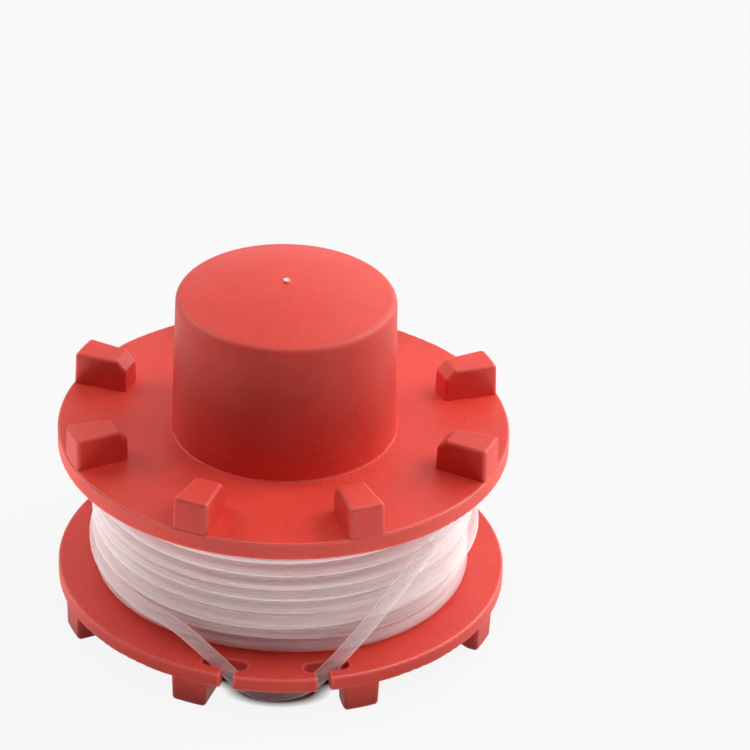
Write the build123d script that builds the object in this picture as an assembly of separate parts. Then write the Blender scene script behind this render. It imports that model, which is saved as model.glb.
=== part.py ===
from build123d import *
import math
import os

# A string trimmer's line spool, wound with its line, in millimetres. The axis is Z, the spool stands
# on its lower teeth, and the tab that the line's free end is looped under is at the front, on -Y.
# Azimuths are in degrees from the front, positive towards +X.

# Flanges and drum
FLANGE_RADIUS = 32.0
LOWER_FLANGE_THICKNESS = 2.2
UPPER_FLANGE_THICKNESS = 2.6
FLANGE_EDGE_ROUND = 0.25
GROOVE_WIDTH = 19.6
DRUM_RADIUS = 20.0
DRUM_WALL = 2.0
BORE_CHAMFER = 0.5

# Cap, from the upper flange to its shoulder, and the low crown above
CAP_FOOT_RADIUS = 15.9
CAP_HEIGHT = 20.65
CAP_DRAFT = 1.1
CAP_WALL = 2.0
CAP_FOOT_ROUND = 0.25
SHOULDER_ROUND = 1.25
CROWN_RISE = 2.35
GATE_RADIUS = 0.55
GATE_HEIGHT = 0.35

# Drive teeth, measured inwards from the rim, with a ramp at the inner end. The upper ones are as long on
# both flanks. The lower ones have a long driving flank, and are cut away behind it to a short one.
TOOTH_COUNT = 8
FIRST_TOOTH_AZIMUTH = 22.5
TOOTH_WIDTH = 5.5
TOOTH_DRAFT = 1.5
TOOTH_RIM_STEP = 0.1
UPPER_TOOTH_HEIGHT = 4.75
UPPER_TOOTH_LENGTH = 8.0
UPPER_TOOTH_RAMP = 1.45
UPPER_TOOTH_ROUND = 0.55
LOWER_TOOTH_HEIGHT = 4.0
LOWER_TOOTH_LENGTH = 11.7
LOWER_TOOTH_SHORT_LENGTH = 2.9
LOWER_TOOTH_RAMP = 0.7
LOWER_TOOTH_ROUND = 0.6

# Line holes on both sides of the front tab, each open to the rim through a narrow mouth
LINE_HOLE_AZIMUTH = 14.0
LINE_HOLE_INSET = 3.0
LINE_HOLE_LENGTH = 6.4
LINE_HOLE_WIDTH = 2.3
MOUTH_AZIMUTH = 12.35
MOUTH_WIDTH = 1.8
MOUTH_CORNER_ROUND = 0.3

# Line
LINE_DIAMETER = 2.0
LINE_LAYERS = 4
TURN_RELIEF = 0.6
LINE_CLEARANCE = 0.1

# The line's free end: off the turns, down through one hole, under the tab, up through the other hole
# and across the turns to its cut end
TAIL_POINTS = [
    (-15.5, -22.3, 9.6),
    (-12.0, -25.1, 8.5),
    (-8.0, -28.15, 6.3),
    (-2.9, -28.8, 1.25),
    (3.2, -28.6, 1.85),
    (6.5, -28.45, 4.75),
    (11.4, -26.8, 10.25),
    (16.6, -23.6, 16.3),
    (21.2, -19.3, 21.2),
]

# Levels along the axis
UNDERSIDE = LOWER_TOOTH_HEIGHT
GROOVE_FLOOR = UNDERSIDE + LOWER_FLANGE_THICKNESS
GROOVE_CEILING = GROOVE_FLOOR + GROOVE_WIDTH
UPPER_FACE = GROOVE_CEILING + UPPER_FLANGE_THICKNESS
SHOULDER = UPPER_FACE + CAP_HEIGHT
CROWN = SHOULDER + CROWN_RISE

# Radii that follow from the sizes above
DRUM_BORE = DRUM_RADIUS - DRUM_WALL
SHOULDER_RADIUS = CAP_FOOT_RADIUS - CAP_HEIGHT * math.tan(math.radians(CAP_DRAFT))
CAP_BORE = SHOULDER_RADIUS - CAP_WALL
CROWN_RADIUS = (SHOULDER_RADIUS**2 + CROWN_RISE**2) / (2 * CROWN_RISE)
LAYER_STEP = LINE_DIAMETER * math.sin(math.radians(60))
WINDING_RADIUS = DRUM_RADIUS + LINE_CLEARANCE + LINE_DIAMETER + (LINE_LAYERS - 1) * LAYER_STEP


def turned(azimuth):
    """The turn about the axis that takes +X to an azimuth."""
    return Rot(0, 0, azimuth - 90)


def crown_height(radius, sphere_radius):
    """Height of the crown's sphere over the shoulder's centre at a radius."""
    return math.sqrt(sphere_radius**2 - radius**2) - sphere_radius + CROWN_RISE


def hub():
    """Drum, upper flange and hollow cap, turned as one section."""
    inner_sphere = CROWN_RADIUS - CAP_WALL
    bore_end = SHOULDER + crown_height(CAP_BORE, inner_sphere) - CAP_WALL
    crown_middle = SHOULDER_RADIUS / 2
    bore_middle = CAP_BORE / 2
    outside = Polyline(
        (DRUM_BORE, UNDERSIDE),
        (DRUM_RADIUS, UNDERSIDE),
        (DRUM_RADIUS, GROOVE_CEILING),
        (FLANGE_RADIUS, GROOVE_CEILING),
        (FLANGE_RADIUS, UPPER_FACE),
        (CAP_FOOT_RADIUS, UPPER_FACE),
        (SHOULDER_RADIUS, SHOULDER),
    )
    crown = ThreePointArc(
        (SHOULDER_RADIUS, SHOULDER),
        (crown_middle, SHOULDER + crown_height(crown_middle, CROWN_RADIUS)),
        (0, CROWN),
    )
    axis_edge = Line((0, CROWN), (0, CROWN - CAP_WALL))
    ceiling = ThreePointArc(
        (0, CROWN - CAP_WALL),
        (bore_middle, SHOULDER + crown_height(bore_middle, inner_sphere) - CAP_WALL),
        (CAP_BORE, bore_end),
    )
    inside = Polyline(
        (CAP_BORE, bore_end),
        (CAP_BORE, GROOVE_CEILING),
        (DRUM_BORE, GROOVE_CEILING),
        (DRUM_BORE, UNDERSIDE),
    )
    section = make_face([outside, crown, axis_edge, ceiling, inside])
    rounds = [
        ((FLANGE_RADIUS, GROOVE_CEILING), FLANGE_EDGE_ROUND),
        ((FLANGE_RADIUS, UPPER_FACE), FLANGE_EDGE_ROUND),
        ((CAP_FOOT_RADIUS, UPPER_FACE), CAP_FOOT_ROUND),
        ((SHOULDER_RADIUS, SHOULDER), SHOULDER_ROUND),
    ]
    for corner, radius in rounds:
        section = fillet(section.vertices().sort_by_distance(corner)[0], radius)
    mouth = section.vertices().sort_by_distance((DRUM_BORE, UNDERSIDE))[0]
    section = chamfer(mouth, BORE_CHAMFER)
    return revolve(Plane.XZ * section, Axis.Z)


def gate_mark():
    """The stub of the moulding gate on the crown."""
    stub = Pos(0, 0, CROWN - CAP_WALL / 2) * extrude(Circle(GATE_RADIUS), CAP_WALL / 2 + GATE_HEIGHT)
    return fillet(stub.faces().sort_by(Axis.Z)[-1].edges(), GATE_HEIGHT / 2)


def lower_flange():
    """The lower flange with its two line holes, every edge of its outline rounded."""
    hole_radius = FLANGE_RADIUS - LINE_HOLE_INSET
    plan = Circle(FLANGE_RADIUS)
    for side in (-1, 1):
        hole = Pos(hole_radius, 0) * Rot(0, 0, 90) * SlotOverall(LINE_HOLE_LENGTH, LINE_HOLE_WIDTH)
        mouth = Pos(hole_radius, 0) * Rectangle(
            2 * LINE_HOLE_INSET, MOUTH_WIDTH, align=(Align.MIN, Align.CENTER)
        )
        plan -= turned(side * LINE_HOLE_AZIMUTH) * hole
        plan -= turned(side * MOUTH_AZIMUTH) * mouth
    plate = Pos(0, 0, UNDERSIDE) * extrude(plan, LOWER_FLANGE_THICKNESS)
    corners = plate.edges().filter_by(Axis.Z).filter_by(on_mouth_wall)
    plate = fillet(corners, MOUTH_CORNER_ROUND)
    faces = plate.faces().sort_by(Axis.Z)
    outline = faces[0].outer_wire().edges() + faces[-1].outer_wire().edges()
    plate = fillet(outline, FLANGE_EDGE_ROUND)
    core = Cylinder(DRUM_RADIUS - DRUM_WALL / 2, 4 * UNDERSIDE)
    return plate - core


def on_mouth_wall(corner):
    """Whether an upright corner of the flange's outline is an end of one of the mouths' walls."""
    place = corner.center()
    for side in (-1, 1):
        azimuth = math.radians(side * MOUTH_AZIMUTH)
        across = place.X * math.cos(azimuth) + place.Y * math.sin(azimuth)
        if place.Y < 0 and math.isclose(abs(across), MOUTH_WIDTH / 2, abs_tol=1e-4):
            return True
    return False


def tooth(leading_length, trailing_length, height, root, ramp, edge_round):
    """A drive tooth along +X on the plane Z = 0, its flanks on radii and its end a step inside the rim."""
    half_angle = math.asin(TOOTH_WIDTH / 2 / FLANGE_RADIUS)
    across = math.sin(half_angle)
    along = math.cos(half_angle)
    leading = FLANGE_RADIUS - leading_length
    trailing = FLANGE_RADIUS - trailing_length
    reach = 2 * FLANGE_RADIUS
    wedge = Polyline(
        (trailing * along, -trailing * across),
        (reach * along, -reach * across),
        (reach * along, reach * across),
        (leading * along, leading * across),
        close=True,
    )
    plan = make_face(wedge) & Circle(FLANGE_RADIUS - TOOTH_RIM_STEP)
    body = Pos(0, 0, -root) * extrude(plan, root + height, taper=TOOTH_DRAFT)
    tip = body.faces().sort_by(Axis.Z)[-1]
    body = chamfer(tip.edges().sort_by(Axis.X)[0], ramp)
    outer_edges = body.edges().filter_by(lambda edge: edge.center().Z > -root / 2)
    return fillet(outer_edges, edge_round)


def spool():
    """The whole moulding."""
    upper = tooth(
        UPPER_TOOTH_LENGTH,
        UPPER_TOOTH_LENGTH,
        UPPER_TOOTH_HEIGHT,
        UPPER_FLANGE_THICKNESS / 2,
        UPPER_TOOTH_RAMP,
        UPPER_TOOTH_ROUND,
    )
    lower = tooth(
        LOWER_TOOTH_LENGTH,
        LOWER_TOOTH_SHORT_LENGTH,
        LOWER_TOOTH_HEIGHT,
        LOWER_FLANGE_THICKNESS / 2,
        LOWER_TOOTH_RAMP,
        LOWER_TOOTH_ROUND,
    )
    lower = mirror(lower, Plane.XY)
    body = hub() + lower_flange() + gate_mark()
    for index in range(TOOTH_COUNT):
        place = turned(FIRST_TOOTH_AZIMUTH + index * 360 / TOOTH_COUNT)
        body += place * Pos(0, 0, UPPER_FACE) * upper
        body += place * Pos(0, 0, UNDERSIDE) * lower
    return body


def tail_path():
    """Straight runs through the tail's points, joined by arcs as large as the runs allow."""
    points = [Vector(*point) for point in TAIL_POINTS]
    runs = [end - start for start, end in zip(points, points[1:])]
    radii = []
    for before, after in zip(runs, runs[1:]):
        half_turn = math.radians(before.get_angle(after)) / 2
        radii.append(0.45 * min(before.length, after.length) / math.tan(half_turn))
    print("tail bend radii, mm:", [round(radius, 1) for radius in radii])
    return FilletPolyline(*points, radius=radii)


def tube(path, radius):
    """A round bar of a radius along a path."""
    return sweep(Plane(path @ 0, z_dir=path % 0) * Circle(radius), path=path)


def line_winding(path):
    """All the turns as one solid, ridged by the outermost layer, with a groove where the tail lies."""
    floor = GROOVE_FLOOR + LINE_CLEARANCE
    width = GROOVE_WIDTH - 2 * LINE_CLEARANCE
    turns = int(width / LINE_DIAMETER)
    pitch = width / turns
    inner = DRUM_RADIUS + LINE_CLEARANCE
    valley = WINDING_RADIUS - TURN_RELIEF
    outline = [Polyline((valley, floor + width), (inner, floor + width), (inner, floor), (valley, floor))]
    for turn in range(turns):
        start = floor + turn * pitch
        crest = (WINDING_RADIUS, start + pitch / 2)
        outline.append(ThreePointArc((valley, start), crest, (valley, start + pitch)))
    solid = revolve(Plane.XZ * make_face(outline), Axis.Z)
    return solid - tube(path, LINE_DIAMETER / 2 + LINE_CLEARANCE)


def main():
    """Writes one file for each node."""
    path = tail_path()
    tail = tube(path, LINE_DIAMETER / 2)
    section_area = math.pi * LINE_DIAMETER**2 / 4
    print("tail length, mm:", round(path.length, 2))
    print("tail volume over section times length:", round(tail.volume / (section_area * path.length), 5))
    os.makedirs("parts", exist_ok=True)
    export_step(spool(), "parts/spool.step")
    export_step(line_winding(path), "parts/line_winding.step")
    export_step(tail, "parts/line_tail.step")


main()
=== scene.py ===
# %% [markdown]
# # A string trimmer's line spool
# The spool is one red moulding, and round its drum are about five metres of clear nylon line. The solids
# are loaded first and stay where they are. This file gives the moulding its finish, winds the line as one
# real strand, and sets the camera and the light. All places are in metres in the solids' own frame: the
# axis is Z and the front is on -Y. Azimuths are in degrees from the front, positive to the right.

# %% Load the solids
import math

import bpy
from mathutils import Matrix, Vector


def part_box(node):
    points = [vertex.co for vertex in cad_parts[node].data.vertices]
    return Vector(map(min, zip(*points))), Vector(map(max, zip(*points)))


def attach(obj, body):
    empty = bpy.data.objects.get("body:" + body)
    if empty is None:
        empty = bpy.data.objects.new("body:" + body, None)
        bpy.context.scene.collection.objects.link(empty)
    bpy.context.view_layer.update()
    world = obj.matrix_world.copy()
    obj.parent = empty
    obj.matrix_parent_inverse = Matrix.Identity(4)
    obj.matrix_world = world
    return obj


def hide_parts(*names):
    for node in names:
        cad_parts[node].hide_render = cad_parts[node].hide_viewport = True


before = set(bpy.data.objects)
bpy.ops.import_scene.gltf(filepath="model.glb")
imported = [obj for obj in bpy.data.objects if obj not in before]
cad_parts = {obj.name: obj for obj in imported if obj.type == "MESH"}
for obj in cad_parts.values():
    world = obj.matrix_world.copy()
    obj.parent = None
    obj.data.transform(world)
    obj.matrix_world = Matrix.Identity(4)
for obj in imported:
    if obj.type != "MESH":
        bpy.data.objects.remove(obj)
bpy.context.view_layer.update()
MM = 0.001

# %% [markdown]
# ## Camera
# The photograph was taken with a long lens from the front, about thirty degrees above the table. A long
# lens far away keeps the two flanges almost the same width, so the distance matters as much as the angle.
# The values come from fitting the rims' ellipses, with the frame 750 pixels square.

# %% Camera
CAMERA_PLACE = (8.013 * MM, -556.322 * MM, 362.672 * MM)
CAMERA_TURN = (59.6224, -1.6133, 0.4645)
CAMERA_LENS = 219.78
CAMERA_SENSOR = 36.0
CAMERA_NEAR = 0.01

camera_data = bpy.data.cameras.new("camera")
camera_data.lens = CAMERA_LENS
camera_data.sensor_width = CAMERA_SENSOR
camera_data.clip_start = CAMERA_NEAR
camera = bpy.data.objects.new("camera", camera_data)
camera.location = CAMERA_PLACE
camera.rotation_euler = [math.radians(angle) for angle in CAMERA_TURN]
bpy.context.collection.objects.link(camera)
bpy.context.scene.camera = camera
print("camera distance, mm:", round(camera.location.length / MM, 1))

# %% [markdown]
# ## The line
# A wound line could be a stack of rings, but rings have no ends, and the free end has to come from
# somewhere. One strand is closer to the real thing. It is wound in four layers, and each layer lies in the
# hollows of the one below. The rows are level at the front and step to the next row at the back, as they do
# on a machine-wound spool, so a loop can work them out. Their sizes come from the winding's solid.

# %% Sizes of the winding
LINE_DIAMETER = 2.0 * MM
LAYERS = 4
OUTER_ROWS = 6
POINTS_PER_TURN = 16
STEP_SHARE = 0.25
ROW_START = -135.0
NESTING_ANGLE = 60.0

winding_low, winding_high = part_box("line_winding")
outer_radius = winding_high.x - LINE_DIAMETER / 2
layer_step = LINE_DIAMETER * math.sin(math.radians(NESTING_ANGLE))
floor_row = winding_low.z + LINE_DIAMETER / 2
ceiling_row = winding_high.z - LINE_DIAMETER / 2
ROWS = int((winding_high.z - winding_low.z) / LINE_DIAMETER)
TOP_ROW = ROWS - 0.5
row_pitch = (ceiling_row - floor_row) / TOP_ROW
print("rows in a layer:", ROWS, "pitch, mm:", round(row_pitch / MM, 3))
print("outermost layer's radius, mm:", round(outer_radius / MM, 2))

# %% [markdown]
# The outermost layer is not full. It stops two rows above the lower flange, and its last turn wanders up
# across the other turns on the right, goes round the back and comes down on the left to the hole beside the
# tab. The free end then goes under the tab, up through the other hole and across the turns. None of this is
# regular, so its points are listed one by one.

# %% The last turn and the free end
# Azimuth in degrees, height and radius in millimetres
LAST_TURN = [
    (-135.0, 12.4, 26.3),
    (-90.0, 12.3, 26.3),
    (-50.0, 12.1, 26.3),
    (-20.0, 12.0, 26.4),
    (5.0, 12.0, 26.5),
    (30.0, 12.6, 26.8),
    (50.0, 13.3, 27.1),
    (70.0, 13.7, 27.2),
    (95.0, 13.6, 27.2),
    (130.0, 13.1, 27.2),
    (180.0, 12.2, 27.2),
    (220.0, 11.4, 27.1),
    (250.0, 10.6, 26.8),
    (275.0, 10.1, 26.5),
    (300.0, 9.8, 26.7),
    (325.2, 9.6, 27.16),
]
# X, Y and Z in millimetres
TAIL_POINTS = [
    (-15.5, -22.3, 9.6),
    (-12.0, -25.1, 8.5),
    (-8.0, -28.15, 6.3),
    (-2.9, -28.8, 1.25),
    (3.2, -28.6, 1.85),
    (6.5, -28.45, 4.75),
    (11.4, -26.8, 10.25),
    (16.6, -23.6, 16.3),
    (21.2, -19.3, 21.2),
]


def last_turn(azimuth):
    """Height and radius of the last turn at an azimuth."""
    for (start, *before), (end, *after) in zip(LAST_TURN, LAST_TURN[1:]):
        if start <= azimuth <= end:
            share = (azimuth - start) / (end - start)
            return [(low + (high - low) * share) * MM for low, high in zip(before, after)]
    return None


turn_heights = [height for azimuth, height, radius in LAST_TURN]
print("last turn climbs, mm:", round(max(turn_heights) - min(turn_heights), 1))

# %% [markdown]
# Where the last turn crosses other turns, it presses them in, and they keep one diameter between their
# middles. The rows under it that nothing else covers have sprung out a little, everywhere but behind the
# tab. Perfect rows would look like a machine's thread, so slow waves shift each row up, down and in by a
# different amount.

# %% Rows of the layers
SPRUNG = 1.33 * MM
SPRUNG_TOP = 11.0 * MM
SPRUNG_FADE = 3.0 * MM
TIGHT_AZIMUTH = -10.0
TIGHT_SPREAD = 28.0
# The waves' height and depth, how many radians each goes on in a turn, and the quick one's share
WAVE_HEIGHT = 0.13 * MM
WAVE_DEPTH = 0.07 * MM
SLOW_WAVE = 5.1
QUICK_WAVE = 8.7
QUICK_SHARE = 0.7
DEPTH_WAVE = 7.3


def smooth_step(share):
    """Goes from 0 to 1 with no kink at either end."""
    share = min(max(share, 0.0), 1.0)
    return share * share * (3 - 2 * share)


def layer_place(layer, turn):
    """Height and radius of a layer at a turn, counted from its first row."""
    row = int(turn)
    step = smooth_step((turn - row - 1) / STEP_SHARE + 1)
    position = row + step if layer % 2 == 0 else TOP_ROW - row - step
    climb = step if row == ROWS - 1 else 0
    height = floor_row + min(max(position, 0), TOP_ROW) * row_pitch
    return height, outer_radius - (LAYERS - 1 - layer - climb) * layer_step


def waved(turn, height, radius):
    """The height and radius with the waves added, between the flanges."""
    wave = math.sin(SLOW_WAVE * turn) + QUICK_SHARE * math.sin(QUICK_WAVE * turn + 1)
    height = min(max(height + wave * WAVE_HEIGHT, floor_row), ceiling_row)
    return height, radius - (1 + math.cos(DEPTH_WAVE * turn)) * WAVE_DEPTH


def sprung_out(azimuth, height):
    """How far the uncovered turns near the lower flange stand out."""
    tight = math.exp(-(((azimuth - TIGHT_AZIMUTH) / TIGHT_SPREAD) ** 2))
    return SPRUNG * (1 - tight) * (1 - smooth_step((height - SPRUNG_TOP) / SPRUNG_FADE))


def pressed_in(height, radius, passes):
    """The radius that is left for a turn where the last turn lies over it."""
    for over_height, over_radius in filter(None, map(last_turn, passes)):
        apart = height - over_height
        if abs(apart) < LINE_DIAMETER:
            radius = min(radius, over_radius - math.sqrt(LINE_DIAMETER**2 - apart**2))
    return radius


print("sprung out at the side, mm:", round(sprung_out(90, floor_row) / MM, 2))

# %% [markdown]
# The route is now a walk: up one layer, down the next, then the last turn and the free end. A smooth curve
# runs a little inside its control points, so on the turns the points stand a little further out.

# %% Wind the strand
CONTROL_RADIUS = 1 / math.cos(math.pi / POINTS_PER_TURN)


def place(azimuth, height, radius):
    """A point of the strand's route, a little outside the curve that it draws."""
    angle = math.radians(azimuth)
    reach = radius * CONTROL_RADIUS
    return Vector((reach * math.sin(angle), -reach * math.cos(angle), height))


def layer_route(layer):
    """The points of one layer."""
    rows = OUTER_ROWS if layer == LAYERS - 1 else ROWS
    points = []
    for index in range(rows * POINTS_PER_TURN):
        turn = index / POINTS_PER_TURN
        azimuth = ROW_START + 360 * (turn % 1)
        height, radius = waved(turn, *layer_place(layer, turn))
        if layer == LAYERS - 2:
            radius += sprung_out(azimuth, height)
        if layer >= LAYERS - 2:
            radius = pressed_in(height, radius, (azimuth, azimuth + 360))
        points.append(place(azimuth, height, radius))
    return points


def last_turn_route():
    """The points of the last turn, up to the free end."""
    turn_step = 360 / POINTS_PER_TURN
    points = []
    for index in range(1 + int((LAST_TURN[-1][0] - ROW_START) / turn_step)):
        azimuth = ROW_START + index * turn_step
        height, radius = last_turn(azimuth)
        points.append(place(azimuth, height, pressed_in(height, radius, (azimuth + 360,))))
    return points


route = [point for layer in range(LAYERS) for point in layer_route(layer)]
route += last_turn_route()
route += [Vector(point) * MM for point in TAIL_POINTS]
print("points on the line:", len(route))

# %% [markdown]
# ## The strand
# The route's points are the control points of one smooth curve, and the curve's own round bevel makes it a
# line of the real diameter with square-cut ends. A mesh tube would look the same, but a curve stays one
# piece whose length can be measured.

# %% The strand
LINE_SMOOTHNESS = 4
LINE_SIDES = 4
LINE_ORDER = 3

line_curve = bpy.data.curves.new("trimmer_line", "CURVE")
line_curve.dimensions = "3D"
# The bevel is multiplied by the radius of each point, which is the line's own
line_curve.bevel_depth = 1.0
line_curve.bevel_resolution = LINE_SIDES
line_curve.use_fill_caps = True
strand = line_curve.splines.new("NURBS")
strand.points.add(len(route) - 1)
for control, point in zip(strand.points, route):
    control.co = (*point, 1.0)
    control.radius = LINE_DIAMETER / 2
strand.order_u = LINE_ORDER
strand.use_endpoint_u = True
strand.resolution_u = LINE_SMOOTHNESS
trimmer_line = bpy.data.objects.new("trimmer_line", line_curve)
bpy.context.collection.objects.link(trimmer_line)
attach(trimmer_line, "root")
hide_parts("line_winding", "line_tail")
spans = [(end - start).length for start, end in zip(route, route[1:])]
print("line measured along its control points, m:", round(sum(spans), 3))

# %% [markdown]
# ## Writing finishes as expressions
# A finish is a tree of nodes. Wired one link at a time it is hard to read, so a small class wraps a
# node's output and lets plain arithmetic add the Math nodes.

# %% A value on a surface


class Value:
    """A number, colour or vector that varies over a surface, as the output of a node."""

    def __init__(self, finish, socket):
        self.finish = finish
        self.socket = socket

    def __add__(self, other):
        return self.finish.math("ADD", self, other)

    def __radd__(self, other):
        return self.finish.math("ADD", other, self)

    def __sub__(self, other):
        return self.finish.math("SUBTRACT", self, other)

    def __rsub__(self, other):
        return self.finish.math("SUBTRACT", other, self)

    def __mul__(self, other):
        return self.finish.math("MULTIPLY", self, other)

    def __rmul__(self, other):
        return self.finish.math("MULTIPLY", other, self)

    def __truediv__(self, other):
        return self.finish.math("DIVIDE", self, other)

    def __rtruediv__(self, other):
        return self.finish.math("DIVIDE", other, self)


print("arithmetic on values:", [name for name in vars(Value) if name.startswith("__r")])

# %% [markdown]
# A second class holds the tree, and one method of it adds every other kind of node. The moulding and the
# line both have patterns that run round the axis. An angle would be the plain way to place them, but an
# angle jumps back somewhere and leaves a seam there, so they follow the direction from the axis instead.

# %% A finish
NOISE_MIDDLE = 0.5


class Finish:
    """The nodes of a material or a world, written as expressions on Values."""

    def __init__(self, owner):
        owner.use_nodes = True
        self.owner = owner
        self.tree = owner.node_tree
        self.tree.nodes.clear()

    def node(self, kind, settings=None, output=0, **sockets):
        """Adds a node, sets it up, feeds its sockets and gives back one output."""
        made = self.tree.nodes.new(kind)
        for name, value in (settings or {}).items():
            setattr(made, name, value)
        for name, value in sockets.items():
            numbered = name[0] == "i" and name[1:].isdigit()
            socket = made.inputs[int(name[1:])] if numbered else made.inputs[name]
            if isinstance(value, Value):
                self.tree.links.new(value.socket, socket)
            else:
                socket.default_value = value
        return Value(self, made.outputs[output]) if made.outputs else made

    def math(self, operation, first, second=0.0, clamp=False):
        """A number worked out from two others."""
        return self.node("ShaderNodeMath", {"operation": operation, "use_clamp": clamp}, i0=first, i1=second)

    def clamped(self, value):
        """A value kept between 0 and 1."""
        return self.math("ADD", value, 0.0, clamp=True)

    def noise(self, where, scale, detail=2.0, roughness=0.5):
        """Noise about zero, whose features are about one over scale metres wide."""
        sockets = {"Vector": where, "Scale": scale, "Detail": detail, "Roughness": roughness}
        return self.node("ShaderNodeTexNoise", **sockets) - NOISE_MIDDLE

    def blend(self, share, first, second):
        """A colour between two others."""
        return self.node("ShaderNodeMix", {"data_type": "RGBA"}, output=2, i0=share, i6=first, i7=second)

    def vector(self, operation, first, second):
        """A vector worked out from two others."""
        return self.node("ShaderNodeVectorMath", {"operation": operation}, i0=first, i1=second)

    def parts(self, where, axes):
        """A vector's numbers along some of its axes."""
        return [self.node("ShaderNodeSeparateXYZ", output=axis, Vector=where) for axis in axes]

    def place(self):
        """A point of the surface, and its distance from the axis."""
        where = self.node("ShaderNodeTexCoord", output="Object")
        across, forward = self.parts(where, "XY")
        return where, self.math("SQRT", across * across + forward * forward)

    def ring_noise(self, where, from_axis, scales, detail, roughness):
        """Noise about zero that is stretched round the axis, with scales round it, outwards and upwards."""
        round_scale, out_scale, up_scale = scales
        across, forward, height = self.parts(where, "XYZ")
        ring_x = across / from_axis * round_scale
        ring_y = forward / from_axis * round_scale
        ring_z = from_axis * out_scale + height * up_scale
        ring_place = self.node("ShaderNodeCombineXYZ", X=ring_x, Y=ring_y, Z=ring_z)
        return self.noise(ring_place, 1.0, detail, roughness)


print("ways to add nodes:", [name for name in vars(Finish) if not name.startswith("_")])

# %% [markdown]
# ## Red moulding
# The spool is moulded nylon, a warm red with a satin skin. One flat colour would look like paint, so the
# finish starts with the patterns that such a moulding has: a fine grain from the mould's surface, a slow
# ripple, a mottle in the pigment, and faint streaks that run outwards as the plastic flowed from the gate.

# %% Patterns of the moulding
GRAIN_SCALE = 3000.0
RIPPLE_SCALE = 700.0
MOTTLE_SCALE = 160.0
# Round the axis, outwards and upwards
STREAKS_SCALES = (14, 60, 40)

red = Finish(bpy.data.materials.new("red_moulding"))
where, from_axis = red.place()
grain = red.noise(where, GRAIN_SCALE, detail=4.0, roughness=0.6)
ripple = red.noise(where, RIPPLE_SCALE)
mottle = red.noise(where, MOTTLE_SCALE, detail=3.0)
streaks = red.ring_noise(where, from_axis, STREAKS_SCALES, detail=5.0, roughness=0.65)
print("grain, mm:", round(1 / GRAIN_SCALE / MM, 2), "mottle, mm:", round(1 / MOTTLE_SCALE / MM, 2))

# %% [markdown]
# The colour is a mix of a deep and a bright red by those patterns. The edges get a painted highlight: a
# paler red stands in for the light that their small rounds catch. They could be picked out by hand, but the
# ambient occlusion node, looking inwards, finds them all, because just inside an edge the next face is
# close. The spot where the gate was snapped off the crown is pale and ragged.

# %% Colour of the moulding
RED_DEEP = (0.66, 0.043, 0.027, 1.0)
RED_BRIGHT = (0.78, 0.065, 0.043, 1.0)
# The edge colour is a painted highlight, standing in for the light that the edges' small rounds catch
RED_EDGE_HIGHLIGHT = (0.96, 0.30, 0.25, 1.0)
GATE_PALE = (0.95, 0.70, 0.64, 1.0)
MIDDLE_TONE = 0.5
MOTTLE_SHARE = 1.1
STREAKS_SHARE = 0.5
GRAIN_SHARE = 1.6
EDGE_REACH = 0.4 * MM
EDGE_SAMPLES = 8
EDGE_START = 0.94
EDGE_STRENGTH = 3
SCAR_SCALE = 1500.0
GATE_REACH = 0.62 * MM
GATE_FADE = 0.3 * MM
GATE_RAGGED = 1.1 * MM

tone = red.clamped(MIDDLE_TONE + MOTTLE_SHARE * mottle + STREAKS_SHARE * streaks + GRAIN_SHARE * grain)
inwards = {"inside": True, "samples": EDGE_SAMPLES}
closeness = red.node("ShaderNodeAmbientOcclusion", inwards, output="AO", Distance=EDGE_REACH)
# Painted highlight: the edges that inward occlusion finds get the paler red
edges = red.clamped(EDGE_STRENGTH * (EDGE_START - closeness))
scar = red.noise(where, SCAR_SCALE)
gate = red.clamped((GATE_REACH + GATE_RAGGED * scar - from_axis) / GATE_FADE)
body_colour = red.blend(tone, RED_DEEP, RED_BRIGHT)
highlighted_colour = red.blend(edges, body_colour, RED_EDGE_HIGHLIGHT)
red_colour = red.blend(gate, highlighted_colour, GATE_PALE)
print("colour nodes:", len(red.tree.nodes))

# %% [markdown]
# The satin comes from a middling roughness that the grain breaks up, and from the grain as a shallow
# relief, which makes the broad highlights on the shoulder and the crown sparkle a little.

# %% Surface of the moulding
RED_ROUGHNESS = 0.46
ROUGH_GRAIN = 0.16
ROUGH_MOTTLE = 0.08
RED_GLOSS = 0.4
RELIEF_GRAIN = 0.8
RELIEF_RIPPLE = 0.4
RELIEF_STRENGTH = 0.75
RELIEF_DEPTH = 0.1 * MM

red_relief = RELIEF_GRAIN * grain + RELIEF_RIPPLE * ripple
red_skin = red.node("ShaderNodeBump", Strength=RELIEF_STRENGTH, Distance=RELIEF_DEPTH, Height=red_relief)
red_surface = red.node(
    "ShaderNodeBsdfPrincipled",
    **{
        "Base Color": red_colour,
        "Roughness": RED_ROUGHNESS + ROUGH_GRAIN * grain + ROUGH_MOTTLE * mottle,
        "Specular IOR Level": RED_GLOSS,
        "Normal": red_skin,
    },
)
red.node("ShaderNodeOutputMaterial", Surface=red_surface)
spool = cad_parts["spool"]
spool.material_slots[0].material = red.owner
print("red moulding nodes:", len(red.tree.nodes))

# %% [markdown]
# ## Clear nylon line
# The line is clear nylon, a little cloudy, and several layers of it lie on a red drum. Glass would be the
# first thought, but light that has to be bent through four layers of thin glass comes out dark and grey.
# Here the strand is a pale surface that lets part of the light straight through, so the turns below and the
# red of the drum show softly, as they do on the real spool. It needs to know where a point of the line is:
# deep in the winding or on its outside, or off the turns, on the free end. Fine lines run along the turns.

# %% Patterns of the line
DEEP_RADIUS = 24.5 * MM
PALE_RADIUS = 26.6 * MM
TAIL_RADIUS = 27.4 * MM
TAIL_FADE = 0.8 * MM
CLOUD_SCALE = 220.0
DRAWN_SCALE = 1800.0
# Round the axis, outwards and upwards
LINES_SCALES = (0.8, 150, 1600)

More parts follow.
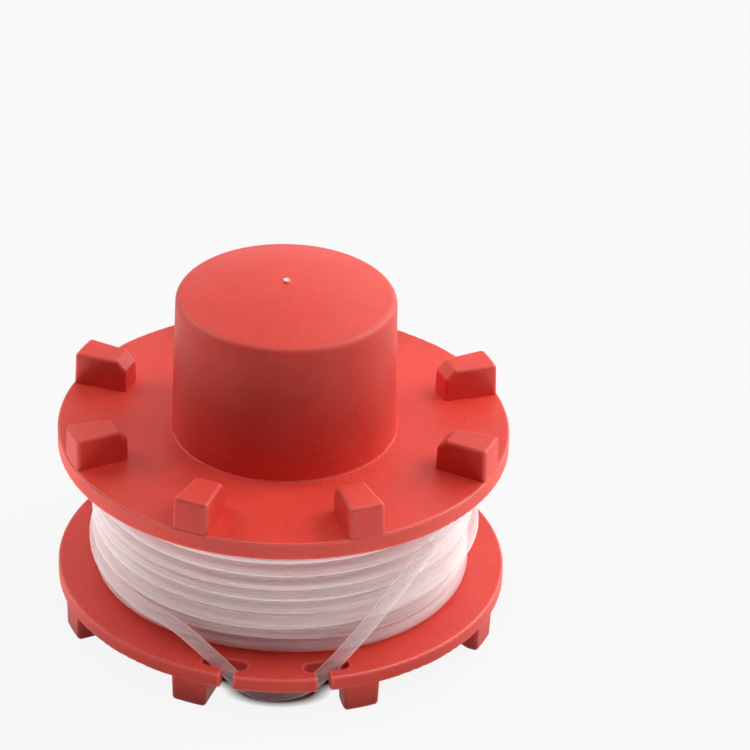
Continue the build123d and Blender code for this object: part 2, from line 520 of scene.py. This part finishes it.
nylon = Finish(bpy.data.materials.new("clear_nylon"))
where, from_axis = nylon.place()
outwards = nylon.clamped((from_axis - DEEP_RADIUS) / (PALE_RADIUS - DEEP_RADIUS))
off_turns = nylon.clamped((from_axis - TAIL_RADIUS) / TAIL_FADE)
lines = nylon.ring_noise(where, from_axis, LINES_SCALES, detail=3.0, roughness=0.6)
cloud = nylon.noise(where, CLOUD_SCALE, detail=3.0)
drawn = nylon.noise(where, DRAWN_SCALE)
print("fine lines, mm apart:", round(1 / LINES_SCALES[-1] / MM, 2))

# %% [markdown]
# A round clear line is easiest to look through at its middle, and its edges turn the light aside and look
# white. The Layer Weight node gives how far the surface is turned away, and that drives the opacity. The
# free end lies over the red flange by itself, and there it is clearer, with crisper edges.

# %% How clear the line is
MIDDLE_ALPHA = 0.3
EDGE_ALPHA = 0.58
TAIL_CLEARNESS = 0.2
TAIL_EDGE_ALPHA = 0.6
LINES_ALPHA = 0.75

turned_away = nylon.node("ShaderNodeLayerWeight", output="Facing", Blend=0.5)
edge = turned_away * turned_away
turn_alpha = MIDDLE_ALPHA + (EDGE_ALPHA - MIDDLE_ALPHA) * edge
tail_alpha = turn_alpha * (1 - TAIL_CLEARNESS * off_turns) + TAIL_EDGE_ALPHA * off_turns * edge * edge
line_alpha = nylon.clamped(tail_alpha + LINES_ALPHA * lines * (1 - off_turns))
print("nodes for the line's opacity:", len(nylon.tree.nodes))

# %% [markdown]
# What is left is the colour: a warm white, with painted red light from the drum that makes it pinker deep in
# the winding, and a soft gloss with cloudy stretches along the strand.

# %% Surface of the line
NYLON_PALE = (0.998, 0.965, 0.96, 1.0)
# The deep colour is painted light: the pink stands for red light thrown from the drum into the inner turns
NYLON_RED_BOUNCE = (0.995, 0.93, 0.925, 1.0)
NYLON_ROUGHNESS = 0.44
NYLON_IOR = 1.53
CLOUD_PALE = 0.5
CLOUD_ROUGH = 0.16
DRAWN_STRENGTH = 0.02
DRAWN_DEPTH = 0.05 * MM

# Outwards the painted red light fades to the pale colour; the cloud adds the line's own cloudiness
paleness = nylon.clamped(outwards + CLOUD_PALE * cloud)
nylon_skin = nylon.node("ShaderNodeBump", Strength=DRAWN_STRENGTH, Distance=DRAWN_DEPTH, Height=drawn)
nylon_surface = nylon.node(
    "ShaderNodeBsdfPrincipled",
    **{
        "Base Color": nylon.blend(paleness, NYLON_RED_BOUNCE, NYLON_PALE),
        "Roughness": NYLON_ROUGHNESS + CLOUD_ROUGH * cloud,
        "IOR": NYLON_IOR,
        "Alpha": line_alpha,
        "Normal": nylon_skin,
    },
)
nylon.node("ShaderNodeOutputMaterial", Surface=nylon_surface)
line_curve.materials.append(nylon.owner)
print("nylon nodes:", len(nylon.tree.nodes))

# %% [markdown]
# A ray of light crosses many turns before it leaves such a winding. With the usual few bounces it is cut
# off on the way, and the line comes out dull, so the light may go on for longer here.

# %% Light inside the line
LINE_BOUNCES = 16
LINE_CROSSINGS = 32

light_paths = bpy.context.scene.cycles
light_paths.max_bounces = LINE_BOUNCES
light_paths.diffuse_bounces = LINE_BOUNCES
light_paths.transparent_max_bounces = LINE_CROSSINGS
print("bounces:", light_paths.diffuse_bounces, "clear crossings:", light_paths.transparent_max_bounces)

# %% [markdown]
# ## Table
# The spool stands on a plain white table. The table is not part of the object, so it is only staged. It is
# a disc, wide enough that its rim stays out of the picture.

# %% The table's disc
TABLE_RADIUS = 1.2
TABLE_SIDES = 96

bpy.ops.object.select_all(action="DESELECT")
bpy.ops.mesh.primitive_circle_add(vertices=TABLE_SIDES, radius=TABLE_RADIUS, fill_type="NGON")
table = bpy.context.object
table.name = "table"
print("table across, m:", 2 * TABLE_RADIUS)

# %% [markdown]
# White paint that is lit until it looks white would throw too much light back on the spool. So the table
# glows, but only for the rays that see it: the camera's, and those of glossy and clear surfaces. To other
# rays it is grey paint, and the little paint that shows through the glow keeps the spool's shadow. Under
# the spool, and close behind the loop of line in front, there is no glow, because the line would shine.

# %% The table's paint and glow
WHITE = (1.0, 1.0, 1.0, 1.0)
TABLE_PAINT = (0.45, 0.45, 0.45, 1.0)
TABLE_GLOW = 0.9
COVERED_RADIUS = 24.5 * MM
COVERED_FADE = 2.0 * MM
LOOP_SHADE_PLACE = (0.2 * MM, -25.0 * MM, 0.0)
LOOP_SHADE_SIZE = (7.5 * MM, 4.6 * MM, 1.0)
LOOP_SHADE_START = 0.7
LOOP_SHADE_SHARPNESS = 3


def seen_rays(finish):
    """1 for the rays that see the background: the camera's, and those of glossy and clear surfaces."""
    camera_ray = finish.node("ShaderNodeLightPath", output="Is Camera Ray")
    glossy_ray = finish.node("ShaderNodeLightPath", output="Is Glossy Ray")
    clear_ray = finish.node("ShaderNodeLightPath", output="Is Transmission Ray")
    return finish.clamped(camera_ray + glossy_ray + clear_ray)


white_table = Finish(bpy.data.materials.new("white_table"))
where, from_axis = white_table.place()
from_loop = white_table.vector("SUBTRACT", where, LOOP_SHADE_PLACE)
loop_shares = white_table.vector("DIVIDE", from_loop, LOOP_SHADE_SIZE)
length = {"operation": "LENGTH"}
loop_distance = white_table.node("ShaderNodeVectorMath", length, output="Value", i0=loop_shares)
beside_loop = white_table.clamped((loop_distance - LOOP_SHADE_START) * LOOP_SHADE_SHARPNESS)
uncovered = white_table.clamped((from_axis - COVERED_RADIUS) / COVERED_FADE)
glow_share = TABLE_GLOW * uncovered * beside_loop * seen_rays(white_table)
glow = white_table.node("ShaderNodeEmission", Color=WHITE, Strength=1.0)
paint = white_table.node("ShaderNodeBsdfDiffuse", Color=TABLE_PAINT)
table_surface = white_table.node("ShaderNodeMixShader", i0=glow_share, i1=paint, i2=glow)
white_table.node("ShaderNodeOutputMaterial", Surface=table_surface)
table.data.materials.append(white_table.owner)
print("table nodes:", len(white_table.tree.nodes))

# %% [markdown]
# ## Light
# In the photograph the cap's front is in shade, and both of its sides, its top and the ends of the winding
# are bright. So the light comes from softboxes at the sides and a little behind, with weaker ones overhead
# and one at the back for the sheen on the crown. One lamp in front would be simpler, but it would flatten
# the cap and hide the turns of the line.

# %% Softboxes
AIM = Vector((0, 0, 25 * MM))
LAMP_DISTANCE = 0.6
LAMP_SIZE = 0.3
# Azimuth and elevation in degrees, power in watts
SOFTBOXES = {
    "left_light": (-115, 40, 1.25),
    "low_left_light": (-100, 12, 0.35),
    "right_light": (80, 40, 1.0),
    "right_back_light": (115, 40, 1.55),
    "low_right_light": (130, 12, 0.85),
    "front_top_light": (0, 85, 0.75),
    "sheen_light": (155, 35, 0.32),
    "top_light": (90, 68, 0.4),
}


def softbox(name, azimuth, elevation, power):
    """A square lamp that faces the spool from an azimuth and an elevation."""
    turn, rise = math.radians(azimuth), math.radians(elevation)
    towards = Vector((math.sin(turn) * math.cos(rise), -math.cos(turn) * math.cos(rise), math.sin(rise)))
    lamp_data = bpy.data.lights.new(name, "AREA")
    lamp_data.size = LAMP_SIZE
    lamp_data.energy = power
    lamp = bpy.data.objects.new(name, lamp_data)
    lamp.location = AIM + LAMP_DISTANCE * towards
    lamp.rotation_euler = (-towards).to_track_quat("-Z", "Y").to_euler()
    bpy.context.collection.objects.link(lamp)


for name, (azimuth, elevation, power) in SOFTBOXES.items():
    softbox(name, azimuth, elevation, power)
print("softboxes:", len(SOFTBOXES), "watts:", round(sum(power for *_, power in SOFTBOXES.values()), 2))

# %% [markdown]
# The upper flange keeps the softboxes' light off the winding. A photographer lays white cards on the table
# to throw some back up into the groove, and three weak lamps that lie on the table do the same. The camera
# and the gloss of the rims don't see them.

# %% Cards on the table
CARD_LEVEL = 1.0 * MM
# Centre, size and power in watts
CARDS = {
    "front_card": ((0, -55 * MM), (100 * MM, 24 * MM), 0.02),
    "left_card": ((-55 * MM, -5 * MM), (24 * MM, 100 * MM), 0.037),
    "right_card": ((55 * MM, -5 * MM), (24 * MM, 100 * MM), 0.027),
}


def card(name, centre, size, power):
    """A lamp that lies on the table, facing up, as a white card would."""
    lamp_data = bpy.data.lights.new(name, "AREA")
    lamp_data.shape = "RECTANGLE"
    lamp_data.size, lamp_data.size_y = size
    lamp_data.energy = power
    lamp = bpy.data.objects.new(name, lamp_data)
    lamp.location = (*centre, CARD_LEVEL)
    lamp.rotation_euler = (math.pi, 0, 0)
    lamp.visible_camera = False
    lamp.visible_glossy = False
    bpy.context.collection.objects.link(lamp)


for name, (centre, size, power) in CARDS.items():
    card(name, centre, size, power)
print("cards:", list(CARDS))

# %% [markdown]
# ## Room and backdrop
# Behind the table's edge is a white backdrop, again only for the rays that see it. The room itself adds a
# trace of even light, so that no corner is black.

# %% Room and backdrop
ROOM_LIGHT = 0.02

studio = Finish(bpy.data.worlds.new("studio"))
room = studio.node("ShaderNodeBackground", Color=WHITE, Strength=ROOM_LIGHT)
backdrop = studio.node("ShaderNodeBackground", Color=WHITE, Strength=1.0)
studio_mix = studio.node("ShaderNodeMixShader", i0=seen_rays(studio), i1=room, i2=backdrop)
studio.node("ShaderNodeOutputWorld", Surface=studio_mix)
bpy.context.scene.world = studio.owner
bpy.context.scene.view_settings.view_transform = "Standard"
print("room light:", ROOM_LIGHT, "view:", bpy.context.scene.view_settings.view_transform)

# %% [markdown]
# The line must not make the part larger than its solids.
